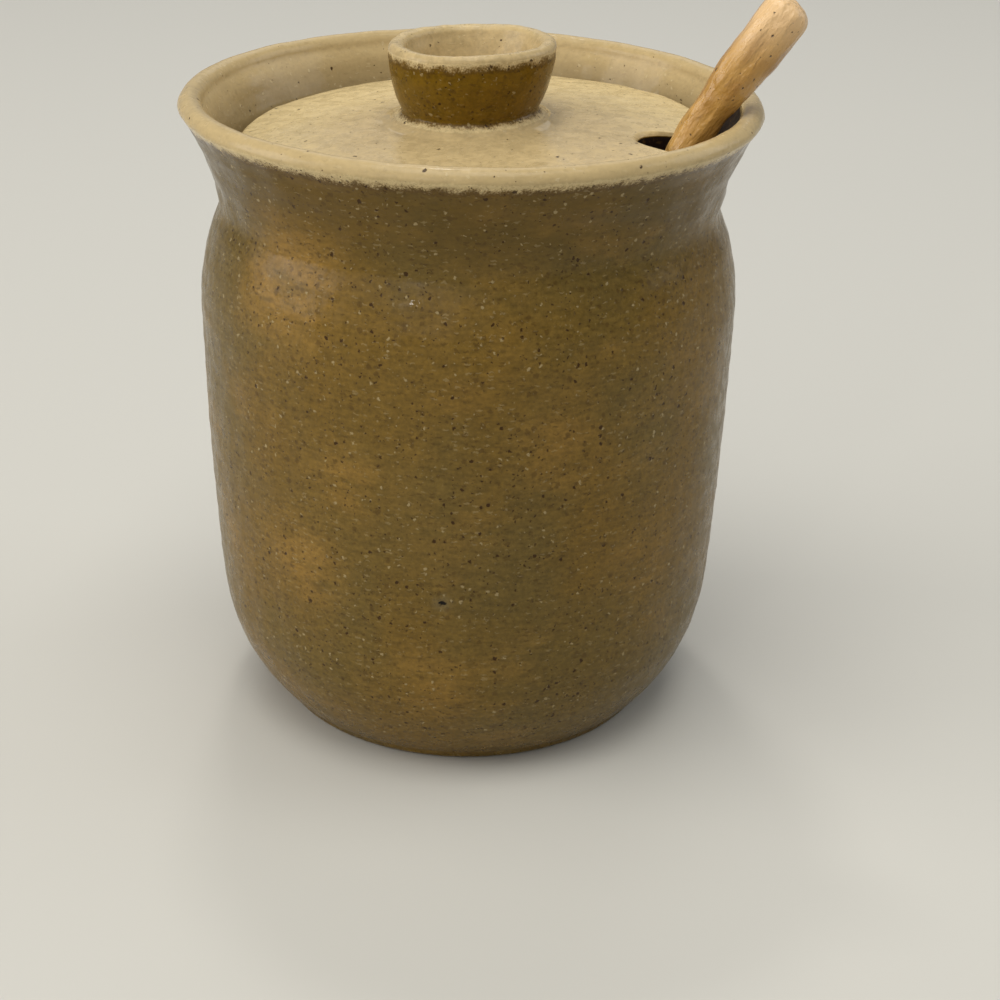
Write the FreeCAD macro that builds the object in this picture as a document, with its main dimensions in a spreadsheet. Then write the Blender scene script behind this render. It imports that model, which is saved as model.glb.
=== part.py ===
"""Condiment jar: a thrown stoneware jar with a flared collar, its drop-in lid with a cup-shaped knob
and a notch at the edge, and the stirrer that stands in the jar and leaves it through the notch.

Millimetres. The origin is the centre of the flat foot, +Z is up, and -Y is the side that the jar
is looked at from. The jar and the lid are turned about upright axes. The lid has dropped into the
collar a little askew: its left edge is down on the ledge inside and its right edge is up in the flare.
"""
import FreeCAD, Part
import math
import os
import re
import Sketcher

# name, size, what it is
SIZES = [
    ("belly_radius", 47.4, "outer radius where the body is widest"),
    ("rim_height", 113.3, "height of the lip's crest above the foot"),
    ("neck_in", 3.9, "how far the neck's outside lies inside the belly's"),
    ("flare_out", 6.5, "how far the collar spreads from the neck to the lip"),
    ("collar_height", 19.3, "from the crease at the neck up to the lip's crest"),
    ("shoulder_height", 18.0, "from the widest part of the body up to the crease"),
    ("lip_half", 2.1, "half the thickness of the lip, which is a half round"),
    ("flare_curve", 42.0, "radius of the collar's hollow flare, seen in section"),
    ("shoulder_curve", 43.5, "radius of the shoulder, seen in section"),
    ("side_curve", 685.0, "radius of the body's long side, seen in section"),
    ("hip_in", 1.9, "how far the body has drawn in where it turns to the foot"),
    ("hip_height", 25.0, "height where the side turns in to the foot"),
    ("foot_in", 10.7, "from there in to the foot's edge"),
    ("foot_curve", 34.6, "radius of the turn from the side to the foot, seen in section"),
    ("foot_round", 1.6, "rounding of the foot's edge"),
    ("crease_round", 3.0, "softening of the crease under the collar"),
    ("wall", 4.3, "thickness of the body's wall"),
    ("floor_thickness", 5.2, "thickness of the floor"),
    ("floor_curve", 24.0, "radius of the turn from the floor to the wall inside, seen in section"),
    ("ledge_drop", 13.3, "from the lip's crest down to the ledge that the lid rests on"),
    ("ledge_in", 2.0, "from the neck's outside in to the outer edge of the ledge"),
    ("ledge_width", 1.7, "width of the ledge"),
    ("throat_depth", 6.0, "height of the straight throat under the ledge"),
    ("lid_clearance", 0.4, "room between a centred lid and the wall at the ledge"),
    ("lid_edge", 4.3, "thickness of the lid at its edge"),
    ("lid_rise", 2.1, "how far the lid's middle stands above its edge"),
    ("lid_curve", 200.0, "radius of the lid's domed top, seen in section"),
    ("lid_round", 1.1, "rounding of the lid's upper edge"),
    ("lid_shift", 0.8, "how far the lid has slid towards +X"),
    ("lid_lean", 2.0, "angle that the lid lies askew, in degrees, with the +X side up"),
    ("seat_gap", 0.2, "room left where one piece rests on another"),
    ("knob_radius", 14.4, "outer radius of the knob at its top"),
    ("knob_height", 13.1, "height of the knob above the lid's middle"),
    ("knob_waist", 11.7, "outer radius of the knob near its foot"),
    ("knob_foot_rise", 2.2, "height of the waist above the lid's middle"),
    ("knob_foot_flare", 1.9, "how far the knob's foot spreads below its waist"),
    ("knob_foot_curve", 2.4, "radius of the spreading foot, seen in section"),
    ("knob_lip", 1.45, "half the thickness of the knob's lip, which is a half round"),
    ("cup_depth", 9.0, "depth of the hollow in the knob"),
    ("cup_floor", 8.4, "radius of the hollow's floor"),
    ("notch_half", 6.3, "half the width of the notch"),
    ("notch_slack", 1.6, "how far the notch's round middle lies inside the stirrer's bend"),
    ("notch_skew", 2.0, "how far the notch is turned past the stirrer, in degrees"),
    ("notch_overrun", 6.0, "how far the cut runs out past the lid's edge"),
    ("stick_aside", 11.15, "distance of the stirrer in front of the jar's axis"),
    ("stick_room", 0.4, "room between the stirrer and the throat's edge"),
    ("stick_low_lean", 12.2, "lean of the long lower run from upright, in degrees"),
    ("stick_high_lean", 34.9, "lean of the short upper run from upright, in degrees"),
    ("stick_bend", 14.0, "radius of the bend between the two runs"),
    ("stick_high_run", 27.0, "length of the upper run"),
    ("stick_foot_radius", 3.7, "radius of the stirrer near its lower end"),
    ("stick_slim_radius", 3.2, "radius of the stirrer in its bend"),
    ("stick_top_radius", 4.25, "radius of the stirrer in its upper run"),
    ("stick_swell", 5.0, "length over which the upper run thickens"),
    ("stick_end_round", 2.0, "rounding of the stirrer's two blunt ends"),
]

# What follows from the sizes: name, formula, what it is
PLACES = [
    ("neck_radius", "belly_radius - neck_in", "outer radius of the neck, at the crease"),
    ("rim_radius", "neck_radius + flare_out", "outer radius of the lip"),
    ("hip_radius", "belly_radius - hip_in", "outer radius where the side turns to the foot"),
    ("foot_radius", "hip_radius - foot_in", "radius of the foot"),
    ("neck_height", "rim_height - collar_height", "height of the crease"),
    ("belly_height", "neck_height - shoulder_height", "height where the body is widest"),
    ("lip_height", "rim_height - lip_half", "height of the middle of the lip's round"),
    ("ledge_height", "rim_height - ledge_drop", "height of the ledge"),
    ("ledge_radius", "neck_radius - ledge_in", "radius of the wall at the ledge"),
    ("throat_radius", "ledge_radius - ledge_width", "radius of the throat"),
    ("lid_radius", "ledge_radius - lid_clearance", "radius of the lid"),
    ("lid_top", "lid_edge + lid_rise", "height of the lid's middle above its underside"),
    ("knob_top", "lid_top + knob_height", "height of the knob above the lid's underside"),
    ("low_slope", "tan(stick_low_lean * 1deg)", "how far the long run leans out for each unit up"),
    ("high_slope", "tan(stick_high_lean * 1deg)", "the same for the short run"),
    ("lip_across", "sqrt((rim_radius - lip_half)^2 - stick_aside^2)",
     "x of the middle of the lip's round where the stirrer crosses it"),
    ("throat_across", "sqrt((throat_radius - stick_room - stick_slim_radius)^2 - stick_aside^2)",
     "x of the stirrer's axis at the ledge's height, where it just clears the throat"),
    ("lip_oblique", "sqrt(1 + (stick_aside * cos(stick_high_lean * 1deg) / lip_across)^2)",
     "lengthening that allows for the lip not being square to the stirrer"),
    ("lip_room", "(lip_half + stick_top_radius + seat_gap) * lip_oblique / cos(stick_high_lean * 1deg)",
     "level distance from the lip's middle to the stirrer's axis, as it leans on the lip"),
    ("corner_height",
     "(throat_across - lip_across + lip_room + lip_height * high_slope - ledge_height * low_slope)"
     " / (high_slope - low_slope)",
     "height where the axes of the two runs cross"),
    ("corner_across", "throat_across + (corner_height - ledge_height) * low_slope",
     "x where the axes of the two runs cross"),
    ("tip_height",
     "floor_thickness + seat_gap + (stick_foot_radius - stick_end_round) * sin(stick_low_lean * 1deg)"
     " + stick_end_round * (1 - cos(stick_low_lean * 1deg))",
     "height of the middle of the lower end, which stands on its edge"),
    ("tip_across", "corner_across - (corner_height - tip_height) * low_slope",
     "x of the middle of the lower end"),
    ("low_run",
     "(corner_height - tip_height) / cos(stick_low_lean * 1deg)"
     " - stick_bend * tan((stick_high_lean - stick_low_lean) * 0.5deg)",
     "length of the long run, up to the bend"),
    ("bend_out", "low_run * sin(stick_low_lean * 1deg) + stick_bend * cos(stick_low_lean * 1deg)",
     "from the lower end out to the bend's centre"),
    ("bend_up", "low_run * cos(stick_low_lean * 1deg) - stick_bend * sin(stick_low_lean * 1deg)",
     "from the lower end up to the bend's centre"),
    ("high_out", "bend_out - stick_bend * cos(stick_high_lean * 1deg)",
     "from the lower end out to the start of the short run"),
    ("high_up", "bend_up + stick_bend * sin(stick_high_lean * 1deg)",
     "from the lower end up to the start of the short run"),
    ("notch_middle", "sqrt((corner_across - lid_shift)^2 + stick_aside^2) - notch_slack",
     "from the lid's axis out to the notch's round middle"),
    ("notch_turn", "atan(stick_aside / (corner_across - lid_shift)) / 1deg + notch_skew",
     "direction of the notch about the lid's axis, in degrees from +X towards -Y"),
]

doc = FreeCAD.newDocument("condiment_jar")
sheet = doc.addObject("Spreadsheet::Sheet", "Sizes")
owner = {}
for row, (alias, size, meaning) in enumerate(SIZES, start=1):
    sheet.set("A%d" % row, alias)
    sheet.set("B%d" % row, str(size))
    sheet.set("C%d" % row, meaning)
    sheet.setAlias("B%d" % row, alias)
    owner[alias] = "Sizes."
doc.recompute()


def expression(words):
    """Words such as "rim_height - lip_half" as an expression that reads the document's values."""
    return re.sub(r"[a-z]\w*", lambda match: owner.get(match.group(), "") + match.group(), words)


def value(words):
    """What such words come to."""
    return float(sheet.evalExpression(expression(words)))


places = doc.addObject("App::VarSet", "Places")
for name, formula, meaning in PLACES:
    places.addProperty("App::PropertyFloat", name, "Places", meaning)
    places.setExpression(name, expression(formula))
    owner[name] = "Places."
doc.recompute()


def new_body(name):
    body = doc.addObject("PartDesign::Body", name)
    body.Label = name
    return body


def new_sketch(body, name, role):
    """A sketch on one of the body's own origin planes, named by its role."""
    sketch = body.newObject("Sketcher::SketchObject", name)
    planes = [feature for feature in body.Origin.OriginFeatures if feature.Role == role]
    sketch.AttachmentSupport = [(planes[0], "")]
    sketch.MapMode = "FlatFace"
    return sketch


def bind(sketch, name, words, *constraint):
    """Add a constraint to the sketch and tie its size to the sheet."""
    index = sketch.addConstraint(Sketcher.Constraint(*constraint, value(words)))
    sketch.renameConstraint(index, name)
    sketch.setExpression("Constraints." + name, expression(words))


def arc_between(start, end, radius, side):
    """The short arc from start to end with its centre on the left (side 1) or the right (side -1).

    Returns the arc and whether the sketcher, which turns its arcs to the left, starts it at start.
    """
    chord = end - start
    half = chord.Length / 2
    left = FreeCAD.Vector(-chord.y, chord.x, 0).normalize()
    centre = start + chord * 0.5 + left * (side * math.sqrt(radius ** 2 - half ** 2))
    first, last = (start, end) if side > 0 else (end, start)
    angles = [math.atan2(point.y - centre.y, point.x - centre.x) for point in (first, last)]
    circle = Part.Circle(centre, FreeCAD.Vector(0, 0, 1), radius)
    return Part.ArcOfCircle(circle, angles[0], angles[1]), side > 0


def draw_outline(sketch, sides):
    """Closed outline: each side is (across, up, bend), its starting corner and how it goes on.

    Corners are sums of named values, or "" for zero. A bend is None for a straight side, or the name
    of a radius and the side that its centre is on.
    """
    corners = [FreeCAD.Vector(value(across or "0"), value(up or "0"), 0) for across, up, bend in sides]
    ends = []
    for number, (across, up, bend) in enumerate(sides):
        start, end = corners[number], corners[(number + 1) % len(sides)]
        if bend is None:
            index = sketch.addGeometry(Part.LineSegment(start, end), False)
            ends.append((index, 1, 2))
        else:
            arc, forward = arc_between(start, end, value(bend[0]), bend[1])
            index = sketch.addGeometry(arc, False)
            ends.append((index, 1, 2) if forward else (index, 2, 1))
    for number, (across, up, bend) in enumerate(sides):
        index, first, last = ends[number]
        after, after_first, after_last = ends[(number + 1) % len(sides)]
        sketch.addConstraint(Sketcher.Constraint("Coincident", index, last, after, after_first))
        if across:
            bind(sketch, "across%d" % number, across, "DistanceX", -1, 1, index, first)
        else:
            sketch.addConstraint(Sketcher.Constraint("PointOnObject", index, first, -2))
        if up:
            bind(sketch, "up%d" % number, up, "DistanceY", -1, 1, index, first)
        else:
            sketch.addConstraint(Sketcher.Constraint("PointOnObject", index, first, -1))
        if bend is not None:
            bind(sketch, "bend%d" % number, bend[0], "Radius", index)


def set_place(item, holder, axis, turn_words, shifts):
    """Turn an object about an axis and shift it, both tied to the document's values.

    holder names its placement, turn_words give degrees, and shifts holds words for x, y or z.
    """
    start = FreeCAD.Vector(*[value(shifts.get(letter, "0")) for letter in "xyz"])
    rotation = FreeCAD.Rotation(FreeCAD.Vector(*axis), value(turn_words))
    setattr(item, holder, FreeCAD.Placement(start, rotation))
    item.setExpression(holder + ".Rotation.Angle", "(%s) * 1deg" % expression(turn_words))
    for letter, words in shifts.items():
        item.setExpression("%s.Base.%s" % (holder, letter), expression(words))


def turn(body, name, sketch, angle_words="360"):
    """Turn a section about its upright axis, as on the wheel, all round or by some degrees."""
    revolution = body.newObject("PartDesign::Revolution", name)
    revolution.Profile = sketch
    revolution.ReferenceAxis = (sketch, ["V_Axis"])
    revolution.Angle = value(angle_words)
    revolution.setExpression("Angle", "(%s) * 1deg" % expression(angle_words))
    doc.recompute()
    return revolution


def ring(feature, radius_words, height_words):
    """Names of the circular edges of this radius about the upright axis at this height."""
    radius, height, near = value(radius_words), value(height_words), 0.01
    names = []
    for number, edge in enumerate(feature.Shape.Edges, start=1):
        curve = edge.Curve
        if isinstance(curve, Part.Circle) and abs(curve.Radius - radius) < near:
            if abs(curve.Center.z - height) < near:
                names.append("Edge%d" % number)
    return names


def round_edges(body, name, feature, edges, size_name):
    """Round these edges of the feature with a radius from the sheet."""
    fillet = body.newObject("PartDesign::Fillet", name)
    fillet.Base = (feature, edges)
    fillet.Radius = value(size_name)
    fillet.setExpression("Radius", expression(size_name))
    doc.recompute()
    return fillet


# The jar: foot, full round body, creased neck and flared collar, hollow, with a ledge for the lid.
jar = new_body("jar")
jar_section = new_sketch(jar, "jar_section", "XZ_Plane")
draw_outline(jar_section, [
    ("", "", None),
    ("foot_radius", "", ("foot_curve", 1)),
    ("hip_radius", "hip_height", ("side_curve", 1)),
    ("belly_radius", "belly_height", ("shoulder_curve", 1)),
    ("neck_radius", "neck_height", ("flare_curve", -1)),
    ("rim_radius", "lip_height", ("lip_half", 1)),
    ("rim_radius - lip_half", "rim_height", ("lip_half", 1)),
    ("rim_radius - lip_half - lip_half", "lip_height", ("flare_curve", 1)),
    ("ledge_radius", "ledge_height", None),
    ("throat_radius", "ledge_height", None),
    ("throat_radius", "ledge_height - throat_depth", ("shoulder_curve", -1)),
    ("belly_radius - wall", "belly_height", ("side_curve", -1)),
    ("hip_radius - wall", "hip_height", ("floor_curve", -1)),
    ("foot_radius - wall", "floor_thickness", None),
    ("", "floor_thickness", None),
])
jar_turned = turn(jar, "jar_turned", jar_section)
jar_foot = round_edges(jar, "jar_foot", jar_turned, ring(jar_turned, "foot_radius", "0"), "foot_round")
round_edges(jar, "jar_crease", jar_foot, ring(jar_foot, "neck_radius", "neck_height"), "crease_round")

# The lid: a domed disc with a cup-shaped knob, and a notch at its edge for the stirrer.
lid = new_body("lid")
lid_section = new_sketch(lid, "lid_section", "XZ_Plane")
draw_outline(lid_section, [
    ("", "", None),
    ("lid_radius", "", None),
    ("lid_radius", "lid_edge", ("lid_curve", 1)),
    ("knob_waist + knob_foot_flare", "lid_top", ("knob_foot_curve", -1)),
    ("knob_waist", "lid_top + knob_foot_rise", None),
    ("knob_radius", "knob_top - knob_lip", ("knob_lip", 1)),
    ("knob_radius - knob_lip", "knob_top", ("knob_lip", 1)),
    ("knob_radius - knob_lip - knob_lip", "knob_top - knob_lip", None),
    ("cup_floor", "knob_top - cup_depth", None),
    ("", "knob_top - cup_depth", None),
])
lid_turned = turn(lid, "lid_turned", lid_section)
round_edges(lid, "lid_rim", lid_turned, ring(lid_turned, "lid_radius", "lid_edge"), "lid_round")

notch_outline = new_sketch(lid, "notch_outline", "XY_Plane")
half = value("notch_half")
inside = value("notch_middle")
outside = value("lid_radius + notch_overrun")
notch_end = Part.Circle(FreeCAD.Vector(inside, 0, 0), FreeCAD.Vector(0, 0, 1), half)
notch_outline.addGeometry(Part.ArcOfCircle(notch_end, math.pi / 2, 3 * math.pi / 2), False)
notch_corners = [(inside, half), (outside, half), (outside, -half), (inside, -half)]
for start, end in zip(notch_corners, notch_corners[1:]):
    notch_outline.addGeometry(Part.LineSegment(FreeCAD.Vector(*start, 0), FreeCAD.Vector(*end, 0)), False)
for constraint in (
    ("Tangent", 0, 1, 1, 1),
    ("Coincident", 1, 2, 2, 1),
    ("Coincident", 2, 2, 3, 1),
    ("Tangent", 3, 2, 0, 2),
    ("Horizontal", 1),
    ("Vertical", 2),
    ("Horizontal", 3),
    ("PointOnObject", 0, 3, -1),
):
    notch_outline.addConstraint(Sketcher.Constraint(*constraint))
bind(notch_outline, "end_radius", "notch_half", "Radius", 0)
bind(notch_outline, "middle", "notch_middle", "DistanceX", -1, 1, 0, 3)
bind(notch_outline, "outside", "lid_radius + notch_overrun", "DistanceX", -1, 1, 2, 1)
set_place(notch_outline, "AttachmentOffset", (0, 0, -1), "notch_turn", {})
notch = lid.newObject("PartDesign::Pocket", "notch")
notch.Profile = notch_outline
notch.Type = "ThroughAll"
notch.Reversed = True
doc.recompute()

# It lies askew: turned about the point of its lower edge that is down on the ledge, at -X.
set_place(lid, "Placement", (0, -1, 0), "lid_lean", {
    "x": "lid_shift - lid_radius * (1 - cos(lid_lean * 1deg))",
    "z": "ledge_height + seat_gap + lid_radius * sin(lid_lean * 1deg)",
})

# The stirrer: a round stick rolled by hand, its long run down in the jar and its short run bent
# outwards, so that it leans on the lip. The body's origin is the middle of its lower end.
stirrer = new_body("stirrer")

low_section = new_sketch(stirrer, "low_section", "XZ_Plane")
draw_outline(low_section, [
    ("", "", None),
    ("stick_foot_radius - stick_end_round", "", ("stick_end_round", 1)),
    ("stick_foot_radius", "stick_end_round", None),
    ("stick_slim_radius", "low_run", None),
    ("", "low_run", None),
])
set_place(low_section, "AttachmentOffset", (0, 0, -1), "stick_low_lean", {})
turn(stirrer, "low_turned", low_section)

# The bend: a circle square to the long run, turned about the bend's centre to the short run's lean.
bend_ring = new_sketch(stirrer, "bend_ring", "XY_Plane")
bend_ring.addGeometry(Part.Circle(
    FreeCAD.Vector(-value("stick_bend"), 0, 0), FreeCAD.Vector(0, 0, 1), value("stick_slim_radius")), False)
bend_ring.addConstraint(Sketcher.Constraint("PointOnObject", 0, 3, -1))
bind(bend_ring, "bend", "stick_bend", "DistanceX", 0, 3, -1, 1)
bind(bend_ring, "ring", "stick_slim_radius", "Radius", 0)
set_place(bend_ring, "AttachmentOffset", (0, 1, 0), "stick_low_lean", {"x": "bend_out", "z": "bend_up"})
turn(stirrer, "bend_turned", bend_ring, "stick_high_lean - stick_low_lean")

# The short run, thickening from the bend up to its blunt end.
high_section = new_sketch(stirrer, "high_section", "XZ_Plane")
draw_outline(high_section, [
    ("", "", None),
    ("stick_slim_radius", "", None),
    ("stick_top_radius", "stick_swell", None),
    ("stick_top_radius", "stick_high_run - stick_end_round", ("stick_end_round", 1)),
    ("stick_top_radius - stick_end_round", "stick_high_run", None),
    ("", "stick_high_run", None),
])
set_place(high_section, "AttachmentOffset", (0, 0, -1), "stick_high_lean", {"x": "high_out", "y": "high_up"})
turn(stirrer, "high_turned", high_section)

# It stands on the jar's floor and leans outwards through the notch.
set_place(stirrer, "Placement", (0, 0, 1), "0", {
    "x": "tip_across",
    "y": "-stick_aside",
    "z": "tip_height",
})
doc.recompute()

# Nothing is written unless every object is sound.
for item in doc.Objects:
    if "Invalid" in item.State or "Error" in item.State:
        raise SystemExit("%s failed: %s" % (item.Label, item.State))
sub_parts = [jar, lid, stirrer]
for body in sub_parts:
    if body.Shape.isNull() or not body.Shape.isValid() or len(body.Shape.Solids) != 1:
        raise SystemExit("%s is not one sound solid" % body.Label)
os.makedirs("parts", exist_ok=True)
for body in sub_parts:
    body.Shape.exportStep("parts/%s.step" % body.Label)
    box = body.Shape.BoundBox
    print("%s: volume %.0f mm3, box %.1f %.1f %.1f to %.1f %.1f %.1f" % (
        body.Label, body.Shape.Volume, box.XMin, box.YMin, box.ZMin, box.XMax, box.YMax, box.ZMax))
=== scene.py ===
"""Looks of the condiment jar: a thrown, speckled stoneware jar, its lid and its stirrer.

Metres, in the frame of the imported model: the foot's centre is the origin, +Z is up, -Y is the front.
The outlines are worked out in millimetres and put into the meshes in metres.
"""
import math

import bpy
import numpy as np
from mathutils import Matrix, Vector


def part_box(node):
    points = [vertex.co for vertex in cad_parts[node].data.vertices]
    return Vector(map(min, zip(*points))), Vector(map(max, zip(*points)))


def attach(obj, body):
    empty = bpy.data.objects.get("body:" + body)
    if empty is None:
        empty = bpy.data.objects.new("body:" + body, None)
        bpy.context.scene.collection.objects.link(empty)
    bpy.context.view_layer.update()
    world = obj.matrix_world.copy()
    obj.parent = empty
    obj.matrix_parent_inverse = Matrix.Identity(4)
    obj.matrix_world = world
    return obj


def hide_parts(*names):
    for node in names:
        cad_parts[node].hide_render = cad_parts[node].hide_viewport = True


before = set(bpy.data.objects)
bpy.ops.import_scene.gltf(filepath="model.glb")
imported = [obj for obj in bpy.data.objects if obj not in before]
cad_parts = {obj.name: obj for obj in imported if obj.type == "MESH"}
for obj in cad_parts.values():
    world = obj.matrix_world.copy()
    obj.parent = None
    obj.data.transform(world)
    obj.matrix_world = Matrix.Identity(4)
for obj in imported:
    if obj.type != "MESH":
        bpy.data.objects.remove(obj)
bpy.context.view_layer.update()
MM = 0.001

# ---------------------------------------------------------------------------------------------
# The jar. Thrown on the wheel in a gritty, iron-bearing stoneware clay: a full body on a small flat
# foot, a soft crease, and a collar that flares out to a round lip. Glazed inside and out in a satin
# glaze that is brown on the upright walls and breaks to a sandy cream on the lip and inside.
# ---------------------------------------------------------------------------------------------
LIP_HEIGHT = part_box("jar")[1].z / MM
LIP_HALF = 2.1
RIM_RADIUS = 50.0
NECK_RADIUS, NECK_HEIGHT = 43.4, LIP_HEIGHT - 19.3
BELLY_RADIUS, BELLY_HEIGHT = 47.4, LIP_HEIGHT - 37.3
HIP_RADIUS, HIP_HEIGHT = 45.5, 25.0
FOOT_RADIUS, FOOT_ROUND = 34.8, 1.6
LEDGE_RADIUS, LEDGE_HEIGHT = 41.5, LIP_HEIGHT - 13.3
THROAT_RADIUS, THROAT_BOTTOM = 39.8, LIP_HEIGHT - 19.3
WALL, FLOOR = 4.3, 5.2
HIP_CURVE, SIDE_CURVE, SHOULDER_CURVE, COLLAR_CURVE = 34.6, 685, 43.5, 42
FOOT_CURVE, FLOOR_CURVE = 1.9, 24
POLE_RADIUS = 2.0
TURN_BELOW, TURN_ABOVE = 3.1, 0.4
RING_PITCH, FINE_RING_PITCH = 5.2, 2.3
# Painted shade: how far below 0 the sandy share goes where the stirrer's shadow falls into the gap beside
# it, with that patch's angle and width. The lid's notch wall and the edge beside it go down by the same
# amount.
PAINTED_SHADE_DROP, PAINTED_SHADE_AT, PAINTED_SHADE_WIDTH = 1.9, -0.12, 0.29
PIT, PIT_DEPTH, PIT_SPREAD = (-3.8, -46.2, 37.8), 0.5, 0.5
BEAD = (-8.6, -44.5, 90.3)


def arc(start, end, radius, side, count):
    """Points from start up to, not with, end on a circle's short arc, centre on the left if side is 1.

    The centre is the chord's middle plus the left normal times sqrt(radius^2 - half chord^2); a
    radius of zero gives the straight line.
    """
    start, end = np.array(start, float), np.array(end, float)
    steps = np.arange(count)[:, None] / count
    if not radius:
        return start + (end - start) * steps
    chord = end - start
    half = np.hypot(*chord) / 2
    left = np.array([-chord[1], chord[0]]) / (2 * half)
    centre = (start + end) / 2 + left * side * math.sqrt(radius ** 2 - half ** 2)
    first = math.atan2(*(start - centre)[::-1])
    sweep = 2 * math.asin(half / radius) * side
    angle = first + sweep * steps[:, 0]
    return centre + radius * np.stack([np.cos(angle), np.sin(angle)], 1)


def ripple(points, scale, seed):
    """Smooth seeded noise of about unit size: a sum of cosines of plane waves about scale mm long."""
    waves = 26
    draw = np.random.default_rng(seed)
    direction = draw.normal(size=(waves, 3))
    direction /= np.linalg.norm(direction, axis=1)[:, None]
    number = direction * (2 * math.pi / scale * draw.uniform(0.6, 1.5, (waves, 1)))
    phase = draw.uniform(0, 2 * math.pi, waves)
    return np.cos(points @ number.T + phase).sum(-1) * math.sqrt(2 / waves)


def ease(value, low, high):
    """0 below low, 1 above high, and 3t^2 - 2t^3 between them."""
    share = np.clip((value - low) / (high - low), 0, 1)
    return share * share * (3 - 2 * share)


def soften(outline, passes):
    """Make each inner point half itself and a quarter of each neighbour, as often as passes says."""
    for _ in range(passes):
        outline[1:-1] = (outline[:-2] + 2 * outline[1:-1] + outline[2:]) / 4


def turned(name, grid, sandy):
    """Closed mesh object from a grid of points in mm: rows run from pole to pole, columns go round.

    Each row is joined to the next by quads, and the first and last rows are closed by fans onto
    their own mean point, so the surface has no holes. sandy holds each point's share of the sandy
    glaze, below 0 also painted shade, and goes into an attribute of that name.
    """
    rows, columns = grid.shape[:2]
    poles = grid[[0, -1]].mean(1)
    points = np.concatenate([grid.reshape(-1, 3), poles]) * MM
    row, column = np.meshgrid(np.arange(rows - 1), np.arange(columns), indexing="ij")
    after = (column + 1) % columns
    quads = np.stack([row * columns + column, row * columns + after,
                      (row + 1) * columns + after, (row + 1) * columns + column], -1).reshape(-1, 4)
    ring = np.arange(columns)
    next_ring = (ring + 1) % columns
    last = (rows - 1) * columns
    start_fan = np.stack([next_ring, ring, np.full(columns, rows * columns)], 1)
    end_fan = np.stack([last + ring, last + next_ring, np.full(columns, rows * columns + 1)], 1)
    mesh = bpy.data.meshes.new(name)
    mesh.from_pydata(points, [], quads.tolist() + start_fan.tolist() + end_fan.tolist())
    mesh.shade_smooth()
    shares = np.concatenate([np.broadcast_to(sandy, (rows, columns)).ravel(), sandy[0, :1], sandy[-1, :1]])
    mesh.attributes.new("sandy", "FLOAT", "POINT").data.foreach_set("value", shares.astype(np.float32))
    piece = bpy.data.objects.new(name, mesh)
    bpy.context.scene.collection.objects.link(piece)
    return piece


def jar_outline():
    """The jar's section from the middle of the foot, up the outside, over the lip and down inside.

    The arcs' joints are softened at the hip and the neck. Also the share of sandy glaze at each
    point: it eases from none to all at the lip's outer edge, and is none inside below the ledge.
    """
    crest = (RIM_RADIUS - LIP_HALF, LIP_HEIGHT)
    edge = LIP_HEIGHT - LIP_HALF
    lip_start, lip_end = (RIM_RADIUS - 0.1, edge), (RIM_RADIUS - 2 * LIP_HALF, edge)
    foot_edge, foot_top = (FOOT_RADIUS - FOOT_ROUND, 0.0), (FOOT_RADIUS + 0.7, FOOT_ROUND)
    hip, belly, neck = (HIP_RADIUS, HIP_HEIGHT), (BELLY_RADIUS, BELLY_HEIGHT), (NECK_RADIUS, NECK_HEIGHT)
    inner_hip, inner_belly = (HIP_RADIUS - WALL, HIP_HEIGHT), (BELLY_RADIUS - WALL, BELLY_HEIGHT)
    ledge = (LEDGE_RADIUS, LEDGE_HEIGHT)
    throat_top, throat_end = (THROAT_RADIUS, LEDGE_HEIGHT), (THROAT_RADIUS, THROAT_BOTTOM)
    floor_edge = (FOOT_RADIUS - WALL, FLOOR)

    body = np.concatenate([
        arc((POLE_RADIUS, 0.0), foot_edge, 0, 0, 3),
        arc(foot_edge, foot_top, FOOT_CURVE, 1, 5),
        arc(foot_top, hip, HIP_CURVE, 1, 22),
        arc(hip, belly, SIDE_CURVE, 1, 40),
        arc(belly, neck, SHOULDER_CURVE, 1, 18),
    ])
    outside = np.concatenate([body, arc(neck, lip_start, COLLAR_CURVE, -1, 34)])
    by_neck, by_hip = slice(len(body) - 3, len(body) + 4), slice(10, 60)
    soften(outside[by_neck], 3)
    soften(outside[by_hip], 3)
    over_lip = arc(lip_start, crest, LIP_HALF, 1, 8)
    down_lip, to_ledge = arc(crest, lip_end, LIP_HALF, 1, 8), arc(lip_end, ledge, COLLAR_CURVE, 1, 16)
    hollow = np.concatenate([
        arc(ledge, throat_top, 0, 0, 2),
        arc(throat_top, throat_end, 0, 0, 2),
        arc(throat_end, inner_belly, SHOULDER_CURVE, -1, 6),
        arc(inner_belly, inner_hip, SIDE_CURVE, -1, 6),
        arc(inner_hip, floor_edge, FLOOR_CURVE, -1, 8),
        arc(floor_edge, (POLE_RADIUS, FLOOR), 0, 0, 3),
    ])
    outline = np.concatenate([outside, over_lip, down_lip, to_ledge, hollow])
    sandy = ease(outline[:, 1], edge - TURN_BELOW, edge + TURN_ABOVE)
    sandy[len(outside) + len(over_lip):] = 1.0
    sandy[-len(hollow) + 1:] = 0.0
    return outline, sandy


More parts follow.
